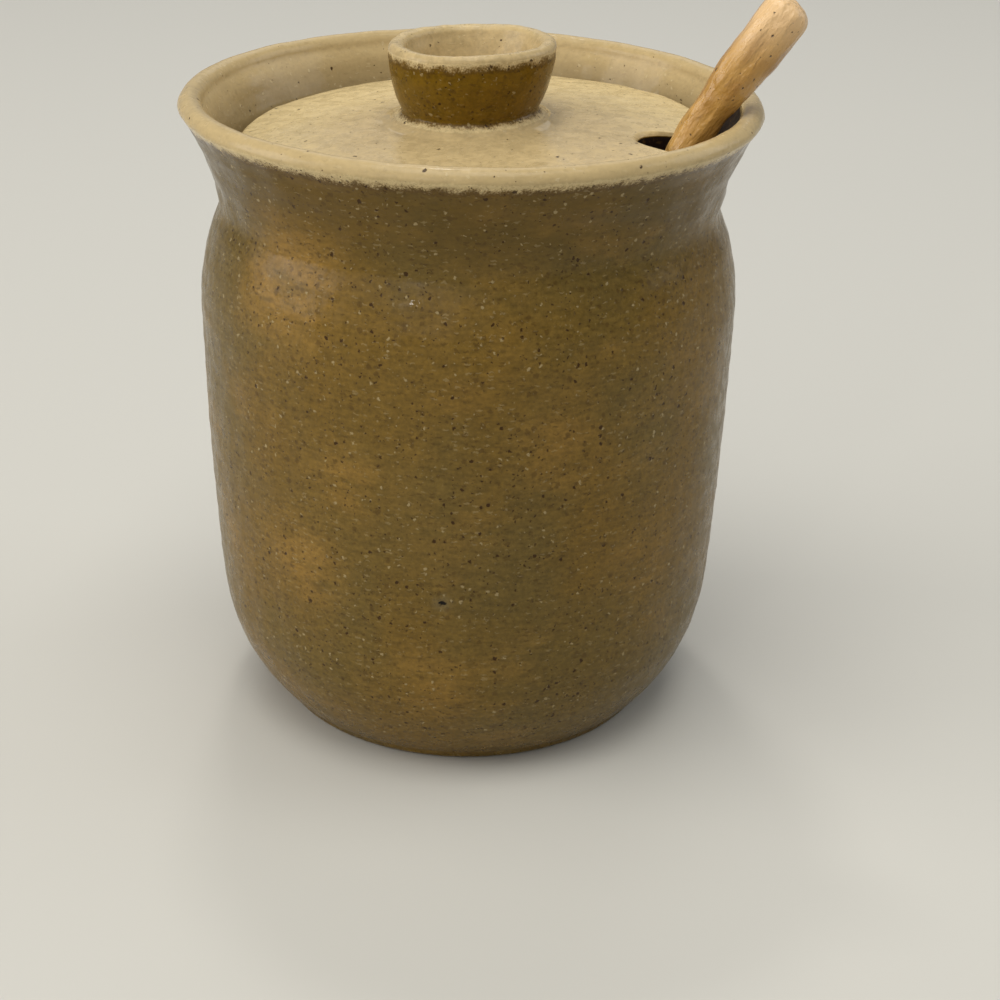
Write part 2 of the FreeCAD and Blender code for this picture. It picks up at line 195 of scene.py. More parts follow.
def jar_grid(columns):
    """The outline carried round the axis and made uneven as a hand-thrown wall is.

    The radius gains a low swell that grows with height, rings that climb one pitch a turn, lumps
    and fine grit, and loses a small pit; the lip's height wanders by a few tenths of a millimetre.
    Where the stirrer stands the inner wall is painted near-black as painted shade, which takes the share
    below 0.
    """
    outline, sandy = jar_outline()
    angle = np.arange(columns) * 2 * math.pi / columns
    radius = np.repeat(outline[:, :1], columns, 1)
    height = np.repeat(outline[:, 1:], columns, 1)
    points = np.stack([radius * np.cos(angle), radius * np.sin(angle), height], -1)
    standing = ease(height, 0.8, 14)
    collar = ease(height, NECK_HEIGHT, NECK_HEIGHT + 5)
    lip = ease(height, LIP_HEIGHT - 4.5, LIP_HEIGHT - 1.5)
    swell = height / LIP_HEIGHT * (0.22 * np.cos(2 * angle + 0.7) + 0.12 * np.cos(3 * angle + 2.1))
    rings = 0.035 * np.cos(2 * math.pi * height / RING_PITCH + angle)
    rings += 0.02 * np.cos(2 * math.pi * height / FINE_RING_PITCH + angle + 1.0)
    lumps = 0.08 * ripple(points, 24, 3) + (0.03 + 0.05 * collar) * ripple(points, 8, 4)
    grit = 0.012 * ripple(points, 1.7, 5)
    radius = radius + standing * (swell + (rings + lumps) * (1 - 0.6 * lip) + grit)
    radius = radius + lip * (0.04 * ripple(points, 12, 6) + 0.008 * ripple(points, 2.4, 7))
    height = height + lip * (0.14 * np.cos(angle + 2.4) + 0.07 * np.cos(3 * angle + 0.4)
                             + 0.03 * ripple(points, 9, 8) + 0.008 * ripple(points, 2.0, 9) - 0.2)
    radius = radius - PIT_DEPTH * np.exp(-((points - PIT) ** 2).sum(-1) / PIT_SPREAD)
    grid = np.stack([radius * np.cos(angle), radius * np.sin(angle), height], -1)
    inner = np.arange(len(sandy))[:, None] > np.argmax(outline[:, 1])
    # Painted shade: the inner wall by the stirrer is painted near-black from just under the lip downwards.
    by_stirrer = np.exp(-((np.angle(np.exp(1j * angle)) - PAINTED_SHADE_AT) / PAINTED_SHADE_WIDTH) ** 4)
    painted_shade_wall = inner * by_stirrer * ease(LIP_HEIGHT - 0.9 - height, 0.0, 1.6)
    return grid, sandy[:, None] - PAINTED_SHADE_DROP * painted_shade_wall


def feed(tree, node, name, value):
    """Set a node's input to a number or colour, or link it to another node's output."""
    if isinstance(value, bpy.types.NodeSocket):
        tree.links.new(value, node.inputs[name])
    elif isinstance(value, tuple) and len(value) == 3 and node.inputs[name].type == "RGBA":
        node.inputs[name].default_value = (*value, 1.0)
    else:
        node.inputs[name].default_value = value


def made(tree, kind, output, settings, **inputs):
    """Output of a new node of this kind with these settings; input names have spaces as underscores."""
    node = tree.nodes.new(kind)
    for name, value in settings.items():
        setattr(node, name, value)
    for name, value in inputs.items():
        feed(tree, node, name.replace("_", " "), value)
    return node.outputs[output]


def moved(tree, place, shift=(0, 0, 0), turn=(0, 0, 0), stretch=(1, 1, 1)):
    """The coordinates stretched, turned and shifted, to place or draw out a pattern."""
    return made(tree, "ShaderNodeMapping", "Vector", {}, Vector=place, Location=shift, Rotation=turn,
                Scale=stretch)


def noise(tree, place, scale, detail):
    """Noise about 0.5 with so many features for each metre, and so many finer layers on them."""
    return made(tree, "ShaderNodeTexNoise", "Fac", {}, Vector=place, Scale=scale, Detail=detail)


def cloud(tree, place, scale, detail, low=0.35, high=0.65):
    """Noise eased from low..high to 0..1."""
    return between(tree, noise(tree, place, scale, detail), low, high)


def between(tree, value, low, high, to_low=0.0, to_high=1.0):
    """The value eased from low..high to to_low..to_high, and held outside that."""
    return made(tree, "ShaderNodeMapRange", "Result", {"interpolation_type": "SMOOTHSTEP"}, Value=value,
                From_Min=low, From_Max=high, To_Min=to_low, To_Max=to_high)


def sums(tree, kind, first, second):
    """One arithmetic step, such as ADD or MULTIPLY, on two numbers or outputs."""
    node = tree.nodes.new("ShaderNodeMath")
    node.operation = kind
    feed(tree, node, 0, first)
    feed(tree, node, 1, second)
    return node.outputs["Value"]


def times(tree, first, second):
    """The product of two numbers or outputs."""
    return sums(tree, "MULTIPLY", first, second)


def plus(tree, value, part, weight=1.0):
    """The value plus weight times the part."""
    return sums(tree, "ADD", value, part if weight == 1.0 else times(tree, part, weight))


def flipped(tree, share):
    """1 minus the share."""
    return sums(tree, "SUBTRACT", 1.0, share)


def band(tree, value, rise, fall):
    """A share that eases up over the range rise and down again over the range fall."""
    return times(tree, between(tree, value, *rise), between(tree, value, *fall, 1.0, 0.0))


def blend(tree, share, first, second):
    """Two colours mixed by share."""
    node = tree.nodes.new("ShaderNodeMix")
    node.data_type = "RGBA"
    for name, value in ((0, share), (6, first), (7, second)):
        feed(tree, node, name, value)
    return node.outputs[2]


def specks(tree, place, spacing, size, share, shift):
    """Share of a speck at each point: one round grain in some of the cells of a random pattern.

    spacing is the cells' mean size and size the largest grain's radius, both in mm. A cell's own
    random colour picks whether it holds a grain and how large.
    """
    cells = tree.nodes.new("ShaderNodeTexVoronoi")
    tree.links.new(moved(tree, place, shift), cells.inputs["Vector"])
    cells.inputs["Scale"].default_value = 1 / (spacing * MM)
    pick = tree.nodes.new("ShaderNodeSeparateColor")
    tree.links.new(cells.outputs["Color"], pick.inputs["Color"])
    chosen = sums(tree, "LESS_THAN", pick.outputs["Red"], share)
    reach = between(tree, pick.outputs["Green"], 0.0, 1.0, 0.4 * size / spacing, size / spacing)
    grain = between(tree, cells.outputs["Distance"], times(tree, reach, 0.6), reach, 1.0, 0.0)
    return times(tree, chosen, grain)


def patch(tree, place, centre, reach, core=0.0):
    """Share of a soft round patch about a point in mm: all within core, gone at reach mm."""
    node = tree.nodes.new("ShaderNodeVectorMath")
    node.operation = "DISTANCE"
    tree.links.new(place, node.inputs[0])
    node.inputs[1].default_value = [part * MM for part in centre]
    return between(tree, node.outputs["Value"], core * MM, reach * MM, 1.0, 0.0)


def shaken(tree, place, scale, amount):
    """The coordinates pushed about by around so many mm, to make a pattern's outlines ragged."""
    push = made(tree, "ShaderNodeTexNoise", "Color", {}, Vector=place, Scale=scale, Detail=2)
    node = tree.nodes.new("ShaderNodeVectorMath")
    node.operation = "MULTIPLY_ADD"
    tree.links.new(push, node.inputs[0])
    node.inputs[1].default_value = [4 * amount * MM] * 3
    tree.links.new(moved(tree, place, shift=[-2 * amount * MM] * 3), node.inputs[2])
    return node.outputs["Vector"]


# Sandy glazes: the plain one; a paler one, painted light, for the lid's back and sides; a darker one,
# painted shade, for the jar's inner wall.
SANDY, LIT_SAND, SHADED_SAND = (0.47, 0.352, 0.174), (0.60, 0.465, 0.235), (0.325, 0.240, 0.114)
# Creams for the grains, and last the cream rim, which is partly the glaze's own pale break and partly
# painted highlight on the lit lip edge.
CREAM, DULL_CREAM, CREAM_RIM_AND_HIGHLIGHT = (0.60, 0.49, 0.29), (0.36, 0.275, 0.135), (0.72, 0.58, 0.31)
# Rust and iron specks, and last a near-black that is painted shade for the gap beside the stirrer and the
# lid's notch.
RUST, IRON, SHADE_BLACK = (0.085, 0.042, 0.007), (0.036, 0.013, 0.0), (0.008, 0.002, 0.0)
CALM_BROWN, RUSTY_DASH = (0.085, 0.050, 0.006), (0.070, 0.036, 0.006)
# The pit's pale halo, and the black of its inside, which is painted shade.
PIT_HALO, PIT_BLACK = (0.19, 0.15, 0.08), (0.003, 0.001, 0.0)


def new_glaze(name):
    """A new material, its node tree, its shader and the output with the object's coordinates."""
    material = bpy.data.materials.new(name)
    material.use_nodes = True
    tree = material.node_tree
    place = tree.nodes.new("ShaderNodeTexCoord").outputs["Object"]
    return material, tree, tree.nodes["Principled BSDF"], place


def body_brown(tree, place, thrown, calmer, browns, toasts):
    """The two browns in clouds, darker where calmer, with the third in toasted patches and flecks."""
    body = blend(tree, cloud(tree, place, 34, 3), browns[0], browns[1])
    body = blend(tree, times(tree, calmer, 0.45), body, CALM_BROWN)
    squat = moved(tree, place, stretch=(1, 1, 1.6))
    toasted = times(tree, cloud(tree, squat, 70, 5, 0.5, 0.72), 0.3)
    for centre, reach, strength in toasts:
        toasted = sums(tree, "MAXIMUM", toasted, times(tree, patch(tree, place, centre, reach), strength))
    toasted = times(tree, toasted, cloud(tree, thrown, 120, 6, 0.25, 0.65))
    return blend(tree, toasted, body, browns[2])


def mottled(tree, colour, streaks, fine, contrast):
    """The colour scaled by 1 plus contrast times how far the two noises together are from their mean."""
    mottle = sums(tree, "SUBTRACT", plus(tree, streaks, fine), 1.0)
    scaled = tree.nodes.new("ShaderNodeVectorMath")
    scaled.operation = "SCALE"
    tree.links.new(colour, scaled.inputs[0])
    tree.links.new(sums(tree, "ADD", times(tree, mottle, contrast), 1.0), scaled.inputs["Scale"])
    return scaled.outputs["Vector"]


def clay_specks(tree, place, ragged, sandy, edge, lively):
    """Shares of dark iron specks, of rusty dashes and of pale grains, each in two or three sizes.

    Iron comes in swarms, fewer in the sandy glaze and where it is not lively. Iron and pale grains
    are thickest on the edge between the glazes.
    """
    crowd = times(tree, cloud(tree, place, 95, 2, 0.35, 0.7),
                  sums(tree, "SUBTRACT", 0.46, times(tree, sandy, 0.36)))
    iron = plus(tree, times(tree, crowd, lively), edge, 0.7)
    iron = plus(tree, iron, sums(tree, "SUBTRACT", 1.25, sandy), 0.13)
    dark = sums(tree, "MAXIMUM", specks(tree, ragged, 1.5, 0.42, iron, (0.1, 0, 0)),
                times(tree, specks(tree, ragged, 0.75, 0.24, iron, (0.3, 0.2, 0.1)), 0.9))
    dashes = moved(tree, ragged, stretch=(1, 1, 3.4))
    rust = sums(tree, "MAXIMUM", specks(tree, ragged, 1.4, 0.62, 0.34, (0.1, 0.4, 0.3)),
                specks(tree, dashes, 1.8, 0.75, 0.45, (0.8, 0.3, 0.2)))
    bright = sums(tree, "ADD", 0.38, times(tree, edge, 0.4))
    grains = sums(tree, "MAXIMUM", specks(tree, ragged, 1.5, 0.38, bright, (0.7, 0.4, 0.1)),
                  times(tree, specks(tree, dashes, 1.8, 0.7, 0.34, (0.4, 0.9, 0.7)), 0.42))
    grains = sums(tree, "MAXIMUM", grains,
                  times(tree, specks(tree, ragged, 0.8, 0.24, 0.30, (0.5, 0.2, 0.6)), 0.5))
    return dark, rust, grains


def stoneware(name, drawn, calm, browns, toasts, sands, painted_shade_spot):
    """Satin glaze over speckled clay: clouded brown, toasted patches, iron specks and pale grains.

    drawn is how much finer the mottling is up the piece than round it, from the throwing; above
    calm, in mm, the glaze is calmer, darker and shinier. browns holds the two browns and the toasted
    one, and toasts the patches: centre and reach in mm, and strength. sands holds two sandy colours,
    the second, darker one as painted shade inside the patch of the last argument: centre, reach and
    core in mm. The sandy attribute, which noise makes ragged as it turns, takes the colour from brown
    at 0 to sandy at 1. Between them the glaze is thin, rusty and gritty, with a cream rim that is
    made paler as a painted highlight. Below 0 it is almost black, as painted shade, and past 1 the
    sandy glaze has pooled and is shiny and smooth.
    """
    material, tree, shader, place = new_glaze(name)
    thrown = moved(tree, place, stretch=(1, 1, drawn))
    ragged = shaken(tree, place, 1700, 0.22)
    height = made(tree, "ShaderNodeSeparateXYZ", "Z", {}, Vector=place)
    calmer = between(tree, height, (calm - 5) * MM, (calm + 5) * MM)
    lively = flipped(tree, times(tree, calmer, 0.5))

    share = made(tree, "ShaderNodeAttribute", "Fac", {"attribute_name": "sandy"})
    pooled = between(tree, share, 1.1, 1.6)
    # Painted shade: below 0 the share paints the glaze near-black, without grains and rougher.
    painted_shade = between(tree, share, -0.8, -0.1, 1.0, 0.0)
    uneven = sums(tree, "SUBTRACT", plus(tree, noise(tree, place, 500, 4), noise(tree, place, 3200, 3)), 1.0)
    turning = sums(tree, "MAXIMUM", times(tree, share, flipped(tree, share)), 0.0)
    share = plus(tree, share, times(tree, times(tree, uneven, 5.0), turning))
    sandy = between(tree, share, 0.15, 0.85)
    thin = band(tree, share, (0.02, 0.25), (0.25, 0.65))
    # Partly painted highlight: the cream rim is the glaze's pale break, made paler to stand in for the lit,
    # sparkling lip edge.
    rim = band(tree, share, (0.6, 0.95), (0.88, 1.0))
    edge = band(tree, share, (0.05, 0.4), (0.7, 0.99))

    body = blend(tree, painted_shade, body_brown(tree, place, thrown, calmer, browns, toasts), SHADE_BLACK)
    # Painted shade: inside the patch the sandy glaze takes the second, darker colour.
    sand = blend(tree, patch(tree, place, *painted_shade_spot), *sands)
    colour = blend(tree, sandy, body, sand)
    colour = blend(tree, times(tree, thin, 0.65), colour, RUST)
    colour = blend(tree, times(tree, rim, 0.6), colour, CREAM_RIM_AND_HIGHLIGHT)
    streaks, fine = noise(tree, thrown, 420, 5), noise(tree, place, 1500, 4)
    contrast = times(tree, times(tree, flipped(tree, times(tree, sandy, 0.45)), 0.85), lively)
    colour = mottled(tree, colour, streaks, fine, contrast)

    dark, rust, grains = clay_specks(tree, place, ragged, sandy, edge, lively)
    grains = times(tree, grains, flipped(tree, painted_shade))
    rusty = times(tree, rust, sums(tree, "SUBTRACT", 0.52, times(tree, sandy, 0.42)))
    shown = times(tree, grains, sums(tree, "SUBTRACT", 0.75, times(tree, sandy, 0.35)))
    colour = blend(tree, rusty, colour, RUSTY_DASH)
    colour = blend(tree, shown, colour, blend(tree, sandy, DULL_CREAM, CREAM))
    colour = blend(tree, times(tree, dark, 0.93), colour, IRON)

    rough = between(tree, noise(tree, place, 420, 4), 0.3, 0.7, 0.22, 0.36)
    for part, weight in ((grains, -0.12), (calmer, -0.08), (pooled, -0.21), (painted_shade, 0.5)):
        rough = plus(tree, rough, part, weight)
    relief = plus(tree, times(tree, streaks, 0.25), noise(tree, place, 800, 4), 0.6)
    relief = plus(tree, relief, noise(tree, place, 260, 2), 2.0)
    relief = plus(tree, relief, sums(tree, "SUBTRACT", times(tree, grains, 0.8), times(tree, dark, 0.8)))
    still = sums(tree, "MAXIMUM", times(tree, pooled, 0.9), times(tree, calmer, 0.4))
    relief = times(tree, relief, flipped(tree, still))
    bump = made(tree, "ShaderNodeBump", "Normal", {}, Height=relief, Strength=0.6, Distance=0.00010)
    tree.links.new(colour, shader.inputs["Base Color"])
    tree.links.new(rough, shader.inputs["Roughness"])
    tree.links.new(bump, shader.inputs["Normal"])
    shader.inputs["IOR"].default_value = 1.28
    return material


def add_pit_and_bead(material):
    """A burst bubble, wider than high, its inside painted black as painted shade, in a pale halo, and a bead
    of thick, shiny glaze.
    """
    tree = material.node_tree
    shader = tree.nodes["Principled BSDF"]
    place = tree.nodes.new("ShaderNodeTexCoord").outputs["Object"]
    wider = 1.5
    flat = [PIT[0], PIT[1], PIT[2] * wider]
    ragged = moved(tree, shaken(tree, place, 1500, 0.12), stretch=(1, 1, wider))
    colour = shader.inputs["Base Color"].links[0].from_socket
    rough = shader.inputs["Roughness"].links[0].from_socket
    halo = patch(tree, shaken(tree, place, 700, 0.5), PIT, 2.4, 0.6)
    colour = blend(tree, times(tree, halo, 0.35), colour, PIT_HALO)
    # Painted shade: the pit's inside is painted black.
    colour = blend(tree, patch(tree, ragged, flat, 0.82, 0.6), colour, PIT_BLACK)
    tree.links.new(colour, shader.inputs["Base Color"])
    bead = patch(tree, shaken(tree, place, 900, 0.3), BEAD, 1.5, 1.0)
    tree.links.new(plus(tree, rough, bead, -0.24), shader.inputs["Roughness"])


jar = turned("jar_thrown", *jar_grid(560))
jar_browns = (0.160, 0.093, 0.0150), (0.134, 0.087, 0.0195), (0.295, 0.165, 0.034)
jar_toasts = (
    ((-31, -36, 90), 17, 1.0), ((-28, -38, 41), 13, 0.7), ((15, -45, 66), 13, 0.45),
    ((-6, -47, 21), 13, 0.5), ((-20, -43, 58), 12, 0.5), ((30, -36, 42), 12, 0.35),
    ((-2, -47, 52), 14, 0.25), ((4, -44, 90), 15, 0.25), ((36, 30, 70), 20, 0.9),
    ((-40, 24, 45), 18, 0.8), ((4, 47, 30), 16, 0.8), ((44, 12, 22), 14, 0.7),
)
# Painted shade on the jar's inner wall: the sandy glaze goes darker towards the ledge.
jar_glaze = stoneware("speckled_glaze", 3.2, 97, jar_browns, jar_toasts, (SANDY, SHADED_SAND),
                      ((0, 0, LEDGE_HEIGHT), 46.6, 43.6))
add_pit_and_bead(jar_glaze)
jar.data.materials.append(jar_glaze)
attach(jar, "root")
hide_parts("jar")

# ---------------------------------------------------------------------------------------------
# The lid. A thrown disc with a low dome, turned over and given a hollow, cup-shaped knob; the notch
# for the stirrer was cut into its edge before firing. It lies a little askew inside the collar.
# ---------------------------------------------------------------------------------------------
LID_RADIUS, LID_EDGE, LID_RISE = 41.1, 4.3, 2.1
LID_SHIFT, LID_LEAN = 0.8, math.radians(2.0)
LID_GAP = 0.2
KNOB_ASIDE_LOW, KNOB_ASIDE_HIGH = 0.85, 0.2
KNOB_RADIUS, KNOB_HEIGHT, KNOB_WAIST, KNOB_FOOT, KNOB_BAND = 14.3, 13.7, 11.8, 16.4, 2.9
CUP_DEPTH, CUP_FLOOR_RADIUS = 9.0, 7.6
NOTCH_TURN, NOTCH_SPAN, NOTCH_INNER, NOTCH_END = math.radians(-19.4), math.radians(9.0), 29.3, 5.5
BESIDE_NOTCH, BESIDE_WIDTH = 0.27, 0.13


def knob_outline():
    """The knob's section from the cup's middle up, over the rim and down to the lid.

    Also the share of sandy glaze: all in the cup and on the rim, none on the outside, and more than
    all in a narrow ring at the foot, where the glaze has pooled.
    """
    top = LID_EDGE + LID_RISE
    crest = top + KNOB_HEIGHT
    cup_floor = crest - CUP_DEPTH
    inner = KNOB_RADIUS - KNOB_BAND
    cup = np.concatenate([
        arc((1.0, cup_floor), (CUP_FLOOR_RADIUS, cup_floor + 0.1), 0, 0, 6),
        arc((CUP_FLOOR_RADIUS, cup_floor + 0.1), (9.3, cup_floor + 1.6), 1.9, 1, 6),
        arc((9.3, cup_floor + 1.6), (inner, crest - 1.3), 0, 0, 12),
        arc((inner, crest - 1.3), (inner + 1.0, crest - 0.1), 1.4, -1, 7),
        arc((inner + 1.0, crest - 0.1), (KNOB_RADIUS - 1.1, crest), 0, 0, 3),
        arc((KNOB_RADIUS - 1.1, crest), (KNOB_RADIUS, crest - 1.2), 1.25, -1, 7),
    ])
    outside = np.concatenate([
        arc((KNOB_RADIUS, crest - 1.2), (KNOB_WAIST + 0.25, top + 2.9), 24, -1, 23),
        arc((KNOB_WAIST + 0.25, top + 2.9), (KNOB_WAIST - 0.1, top + 2.0), 1.3, 1, 5),
        arc((KNOB_WAIST - 0.1, top + 2.0), (KNOB_FOOT, top), 6.3, 1, 16),
    ])
    down = outside[:, 1]
    brown = ease(crest - 0.3 - down, 0.0, 3.2) * ease(down - top, 0.7, 2.6)
    pooled = 0.8 * np.exp(-((down - top - 0.3) / 0.3) ** 2)
    outline = np.concatenate([cup, outside])
    soften(outline, 1)
    return outline, np.concatenate([np.ones(len(cup)), 1 - brown + pooled])


def lid_grid(columns):
    """The lid's section carried round, with the edge drawn in where the notch is.

    The columns crowd at the notch. From the knob's foot outwards each row lies at a share of the
    way to the edge; in the notch the edge is an oval end that opens into two straight sides. The
    notch's wall and the lid's edge beside it are painted near-black, as painted shade. The knob is
    set a little aside and is uneven, which fades out over the lid round it. At last the lid is leant and put
    in its place.
    """
    even = np.linspace(-math.pi, math.pi, columns, endpoint=False)
    crowd = 0.72
    off = even - crowd * np.sin(even) * (1 + np.cos(even)) ** 2 / 4
    across = np.clip(np.abs(off) / NOTCH_SPAN, 0, 1)
    edge = NOTCH_INNER + NOTCH_END * (1 - np.sqrt(1 - across ** 2))
    edge = edge + (LID_RADIUS - NOTCH_INNER - NOTCH_END) * across ** 24
    angle = off + NOTCH_TURN
    spin = np.stack([np.cos(angle), np.sin(angle)], -1)

    top = LID_EDGE + LID_RISE
    knob, knob_sandy = knob_outline()
    round_top, round_low = 1.3, 0.9
    out = KNOB_FOOT + (edge - round_top - KNOB_FOOT) * np.linspace(0, 1, 34)[1:, None]
    dome = top - LID_RISE * ((out - KNOB_FOOT) / (LID_RADIUS - KNOB_FOOT)) ** 1.6
    corner = np.linspace(0, math.pi / 2, 9)[1:, None]
    top_out = edge - round_top + round_top * np.sin(corner)
    top_height = dome[-1] - round_top * (1 - np.cos(corner))
    side_height = top_height[-1] + (round_low - top_height[-1]) * np.linspace(0, 1, 6)[1:, None]
    low_out = edge - round_low + round_low * np.cos(corner)
    low_height = round_low - round_low * np.sin(corner) + 0 * edge
    under = (edge - round_low) * np.linspace(1, 0.02, 14)[1:, None]
    radius = np.concatenate([knob[:, :1] + 0 * edge, out, top_out, edge + 0 * side_height, low_out, under])
    height = np.concatenate([knob[:, 1:] + 0 * edge, dome, top_height, side_height, low_height, 0 * under])
    sandy = np.ones_like(radius)
    sandy[:len(knob)] = knob_sandy[:, None]
    pooled = np.clip(sandy - 1, 0, None)
    sandy_rows = 6
    cut = slice(len(knob) + len(out) + sandy_rows, len(sandy) - len(under))
    # Painted shade: the notch's wall is painted near-black.
    sandy[cut] = 1 - PAINTED_SHADE_DROP * ease(LID_RADIUS - edge, 0.3, 2.0)
    # Painted shade: the lid's edge beside the notch, across the gap from the collar's wall, is painted
    # near-black.
    beside = np.exp(-((off - BESIDE_NOTCH) / BESIDE_WIDTH) ** 4)
    beside = beside * ease(radius, LID_RADIUS - 1.6, LID_RADIUS - 0.6)
    sandy = np.minimum(sandy, 1 - PAINTED_SHADE_DROP * beside) + pooled
    set_on = np.ones_like(radius)
    set_on[len(knob):] = 1 - ease(radius[len(knob):], KNOB_FOOT, KNOB_FOOT + 9)

    points = np.stack([radius * spin[:, 0], radius * spin[:, 1], height], -1)
    upper = np.clip(height / LID_EDGE, 0, 1)
    on_knob = ease(height, top + 2, top + 5)
    height = height + upper * (0.06 * ripple(points, 17, 11) + 0.02 * ripple(points, 5, 12)
                               + 0.015 * np.cos(2 * math.pi * radius / 3.1 + angle))
    height = height + on_knob * (0.12 * np.cos(angle + 1.3) + 0.02 * ripple(points, 3, 13))
    radius = radius + on_knob * (0.10 * np.cos(2 * angle + 1.0) + 0.06 * np.cos(3 * angle + 0.3)
                                 + 0.04 * ripple(points, 7, 14) + 0.01 * ripple(points, 1.8, 15)
                                 + 0.02 * np.cos(2 * math.pi * height / 2.4 + angle))
    x = radius * spin[:, 0] + LID_RADIUS
    up_knob = np.clip((height - top) / KNOB_HEIGHT, 0, 1)
    x = x - set_on * (KNOB_ASIDE_LOW + (KNOB_ASIDE_HIGH - KNOB_ASIDE_LOW) * up_knob)
    lean_x = LID_SHIFT - LID_RADIUS + x * math.cos(LID_LEAN) - height * math.sin(LID_LEAN)
    lean_z = LEDGE_HEIGHT + LID_GAP + x * math.sin(LID_LEAN) + height * math.cos(LID_LEAN)
    grid = np.stack([lean_x, radius * spin[:, 1], lean_z], -1)
    return grid[:, ::-1], sandy


lid = turned("lid_turned", *lid_grid(620))
lid_browns = (0.172, 0.093, 0.005), (0.152, 0.087, 0.006), (0.22, 0.130, 0.016)
never_calm = 1000
# Painted light and shade: the lid's sandy glaze is paler towards its back and sides and darker towards its
# front.
lid.data.materials.append(stoneware("lid_glaze", 1.0, never_calm, lid_browns, (), (LIT_SAND, SANDY),
                                    ((2, -13, 112), 42, 20)))
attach(lid, "root")
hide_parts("lid")

# ---------------------------------------------------------------------------------------------
# The stirrer. A stick rolled and pinched by hand, bent before firing, under a glossy tan glaze with
# a few iron specks. It stands on the jar's floor and leans on the lip.
# ---------------------------------------------------------------------------------------------
STICK_LOW_LEAN, STICK_HIGH_LEAN = math.radians(12.2), math.radians(34.9)
STICK_BEND_AT, STICK_BEND_SPAN = 104.6, 14.0
STICK_ASIDE = 11.2
STICK_STRETCH, STICK_FOOT, STICK_TAPER = 1.047, 3.6, 0.75
TIP_INSET, TIP_DROP = 3.3, 2.5
DENT_DEPTH, DENT_AT, DENT_WIDTH = 0.5, 13.5, 4.0
TAN, AMBER = (0.50, 0.278, 0.068), (0.36, 0.178, 0.032)
PALE_TAN, LOW_TAN = (0.84, 0.58, 0.31), (0.68, 0.40, 0.120)
CRACK, SPOT = (0.17, 0.080, 0.018), (0.17, 0.062, 0.016)


def stirrer_grid(rows, columns):
    """A round section carried along a line whose lean eases from one run's to the other's.

    The line is the running sum of its own direction, shifted so that its end lies just inside the
    packed stirrer's box. The radius tapers up to the bend and eases to the thick run above it, is
    rounded off at both ends, and is pinched into soft facets by noise and a few cosines. One dent
    above the bend, on the side towards the lip, leaves room for the lip.
    """
    low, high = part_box("stirrer")
    length = (high.z - low.z) / MM * STICK_STRETCH
    along = np.linspace(0, length, rows)
    bent = ease(along, STICK_BEND_AT - STICK_BEND_SPAN / 2, STICK_BEND_AT + STICK_BEND_SPAN / 2)
    lean = STICK_LOW_LEAN + (STICK_HIGH_LEAN - STICK_LOW_LEAN) * bent
    step = np.gradient(along)
    across = np.cumsum(np.sin(lean) * step)
    up = np.cumsum(np.cos(lean) * step)
    across += high.x / MM - TIP_INSET - across[-1]
    up += high.z / MM - TIP_DROP - up[-1]
    thick = ease(along, STICK_BEND_AT + 7, STICK_BEND_AT + 15)
    radius = STICK_FOOT - STICK_TAPER * ease(along, 0, STICK_BEND_AT)
    radius = radius + 0.25 * ease(along - STICK_BEND_AT, 0, 6) + thick
    end_low, end_high = 2.6, 3.4
    cap = np.sqrt(np.clip(1 - (1 - np.clip(along / end_low, 0, 1)) ** 2.4, 0, 1))
    cap *= np.sqrt(np.clip(1 - (1 - np.clip((length - along) / end_high, 0, 1)) ** 2.4, 0, 1))
    radius = radius * np.maximum(cap, 0.04)
    angle = np.arange(columns) * 2 * math.pi / columns
    middle = np.stack([across, 0 * along - STICK_ASIDE, up], -1)[:, None]
    outwards = np.stack([np.cos(lean), 0 * lean, -np.sin(lean)], -1)[:, None]
    aside = np.array([0.0, 1.0, 0.0])
    ring = outwards * np.cos(angle)[:, None] + aside * np.sin(angle)[:, None]
    rough = middle + ring * radius[:, None, None]
    lumps = 0.06 * ripple(rough, 11, 21) + 0.04 * ripple(rough, 5, 22) + 0.02 * ripple(rough, 2.0, 23)
    run = along[:, None]
    facets = 0.09 * np.cos(3 * angle + 0.06 * run) + 0.08 * np.cos(5 * angle - 0.05 * run)
    facets += 0.03 * np.cos(9 * angle + 0.8 * np.sin(0.11 * run))
    facets += 0.01 * np.cos(17 * angle + 1.2 * np.sin(0.17 * run))
    dent = DENT_DEPTH * np.exp(-((run - STICK_BEND_AT - DENT_AT) / DENT_WIDTH) ** 2)
    dent = dent * np.clip(np.cos(angle), 0, 1)
    swollen = radius[:, None] + (lumps + facets) * cap[:, None] - dent
    return middle + ring * swollen[..., None], 0 * swollen


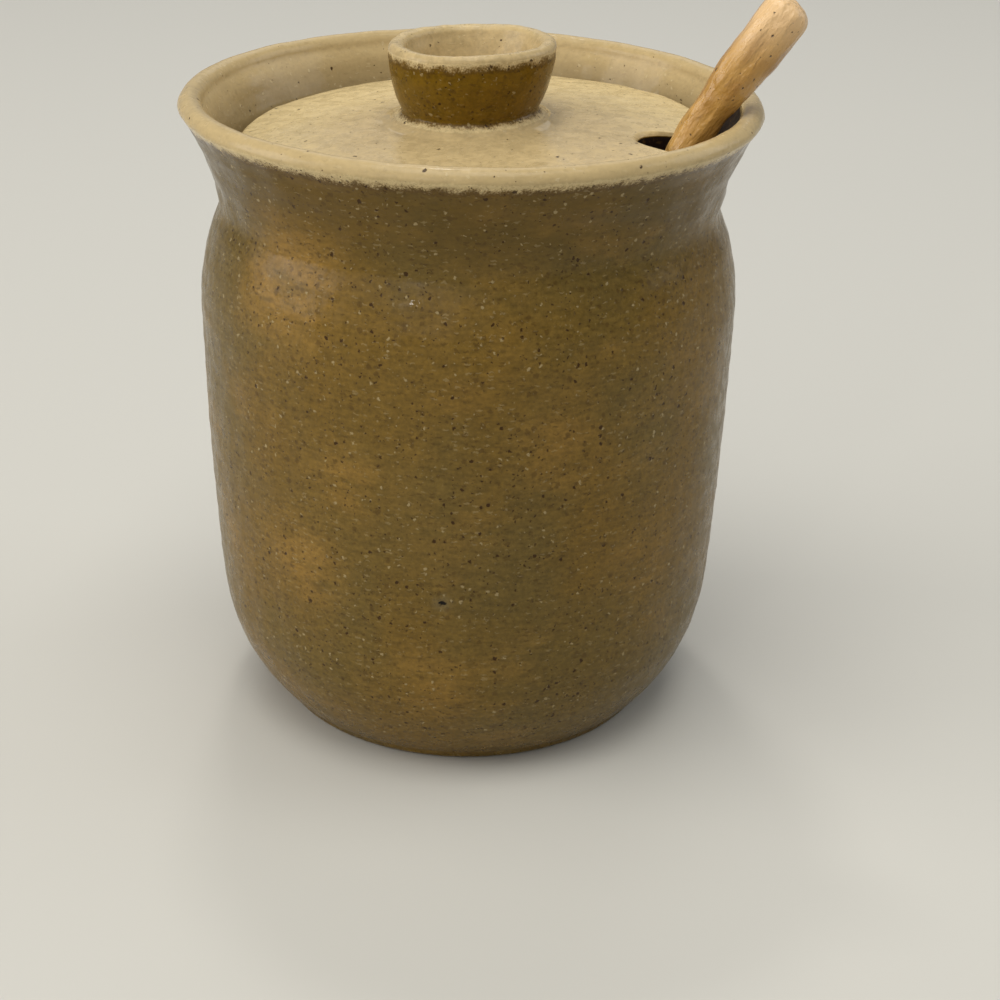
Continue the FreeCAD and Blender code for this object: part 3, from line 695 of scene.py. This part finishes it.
def stirrer_glaze():
    """Glossy tan glaze drawn out along the stick: amber where it pools, paler at both visible ends.

    Thin dark cracks run along it, and rusty spots and iron specks lie on it. The relief is hammered,
    with finer streaks, and the specks are sunk.
    """
    material, tree, shader, place = new_glaze("stirrer_glaze")
    upright = moved(tree, place, turn=(0, -STICK_HIGH_LEAN, 0))
    drawn = moved(tree, upright, stretch=(1, 1, 0.26))
    half_drawn = (1, 1, 0.5)
    colour = blend(tree, cloud(tree, drawn, 480, 5, 0.34, 0.62), AMBER, TAN)
    colour = blend(tree, times(tree, cloud(tree, place, 160, 3, 0.42, 0.62), 0.4), colour, AMBER)
    height = made(tree, "ShaderNodeSeparateXYZ", "Z", {}, Vector=place)
    colour = blend(tree, times(tree, between(tree, height, 0.120, 0.131), 0.75), colour, PALE_TAN)
    colour = blend(tree, between(tree, height, 0.108, 0.118, 0.55, 0.0), colour, LOW_TAN)
    crack = cloud(tree, moved(tree, drawn, shift=(0.3, 0.1, 0.2)), 1300, 4, 0.60, 0.70)
    colour = blend(tree, times(tree, crack, 0.35), colour, CRACK)
    ragged = shaken(tree, upright, 1700, 0.2)
    spots = specks(tree, moved(tree, ragged, stretch=half_drawn), 2.6, 1.0, 0.22, (0.4, 0.8, 0.2))
    colour = blend(tree, times(tree, spots, 0.45), colour, SPOT)
    dark = sums(tree, "MAXIMUM", specks(tree, ragged, 1.9, 0.42, 0.42, (0.2, 0.7, 0.1)),
                specks(tree, ragged, 0.9, 0.22, 0.28, (0.6, 0.1, 0.8)))
    colour = blend(tree, times(tree, dark, 0.88), colour, IRON)
    tree.links.new(colour, shader.inputs["Base Color"])
    rough = between(tree, noise(tree, drawn, 900, 3), 0.3, 0.7, 0.16, 0.42)
    tree.links.new(rough, shader.inputs["Roughness"])
    shader.inputs["IOR"].default_value = 1.5
    hammered = noise(tree, moved(tree, upright, stretch=half_drawn), 420, 4)
    relief = plus(tree, plus(tree, hammered, noise(tree, drawn, 700, 5), 0.5), dark, -0.3)
    bump = made(tree, "ShaderNodeBump", "Normal", {}, Height=relief, Strength=0.8, Distance=0.0009)
    tree.links.new(bump, shader.inputs["Normal"])
    return material


stirrer = turned("stirrer_rolled", *stirrer_grid(300, 96))
stirrer.data.materials.append(stirrer_glaze())
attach(stirrer, "root")
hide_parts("stirrer")

# ---------------------------------------------------------------------------------------------
# The setting: a plain pale floor, soft lamps at a plain level, two small ones (glint and ceiling)
# that give the glaze its highlights, and the camera.
# ---------------------------------------------------------------------------------------------
FLOOR_HALF, AIM_HEIGHT = 4.0, 0.08
CAMERA_PLACE = (0.0, -0.340, 0.198)
floor_mesh = bpy.data.meshes.new("floor")
floor_mesh.from_pydata([(-FLOOR_HALF, -FLOOR_HALF, 0), (FLOOR_HALF, -FLOOR_HALF, 0),
                        (FLOOR_HALF, FLOOR_HALF, 0), (-FLOOR_HALF, FLOOR_HALF, 0)], [], [(0, 1, 2, 3)])
floor = bpy.data.objects.new("floor", floor_mesh)
bpy.context.scene.collection.objects.link(floor)
floor_material = bpy.data.materials.new("pale_floor")
floor_material.use_nodes = True
floor_shader = floor_material.node_tree.nodes["Principled BSDF"]
floor_shader.inputs["Base Color"].default_value = (0.555, 0.54, 0.49, 1.0)
floor_shader.inputs["Roughness"].default_value = 0.55
floor_mesh.materials.append(floor_material)


def soft_lamp(name, place, size, power, colour):
    """A square area lamp that faces the jar's middle."""
    light = bpy.data.lights.new(name, "AREA")
    light.size = size
    light.energy = power
    light.color = colour
    lamp = bpy.data.objects.new(name, light)
    lamp.location = place
    lamp.rotation_euler = (Vector((0, 0, AIM_HEIGHT)) - Vector(place)).to_track_quat("-Z", "Y").to_euler()
    bpy.context.scene.collection.objects.link(lamp)


soft_lamp("overhead", (-0.12, -0.38, 1.9), 1.4, 23.5, (1.0, 0.98, 0.93))
soft_lamp("front_left", (-0.75, -1.35, 0.95), 1.7, 7.0, (1.0, 0.97, 0.93))
soft_lamp("left_side", (-1.5, -0.20, 0.65), 1.0, 11.5, (1.0, 0.98, 0.95))
soft_lamp("right_side", (1.4, 0.30, 0.8), 1.0, 5.5, (0.95, 0.98, 1.0))
soft_lamp("back", (0.1, 1.5, 1.3), 1.2, 3.5, (1.0, 0.99, 0.97))
soft_lamp("glint", (-0.525, -1.26, 0.564), 0.075, 0.7, (1.0, 0.97, 0.93))
soft_lamp("ceiling", (-0.10, 0.60, 1.30), 0.15, 2.2, (1.0, 0.97, 0.93))

world = bpy.data.worlds.new("room")
bpy.context.scene.world = world
world.use_nodes = True
world.node_tree.nodes["Background"].inputs["Color"].default_value = (0.93, 0.96, 1.0, 1.0)
world.node_tree.nodes["Background"].inputs["Strength"].default_value = 0.25

camera_data = bpy.data.cameras.new("camera")
camera_data.sensor_width = 36.0
camera_data.lens = 72.0
camera_data.clip_start = 0.01
camera = bpy.data.objects.new("camera", camera_data)
bpy.context.scene.collection.objects.link(camera)
yaw, pitch, roll = math.radians(1.069), math.radians(25.596), math.radians(1.274)
ahead = Vector((math.sin(yaw) * math.cos(pitch), math.cos(yaw) * math.cos(pitch), -math.sin(pitch)))
level_right = Vector((math.cos(yaw), -math.sin(yaw), 0.0))
level_up = level_right.cross(ahead)
right = level_right * math.cos(roll) + level_up * math.sin(roll)
up = level_up * math.cos(roll) - level_right * math.sin(roll)
turn = Matrix((right, up, -ahead)).transposed().to_4x4()
camera.matrix_world = Matrix.Translation(CAMERA_PLACE) @ turn
bpy.context.scene.camera = camera
bpy.context.scene.view_settings.view_transform = "Standard"
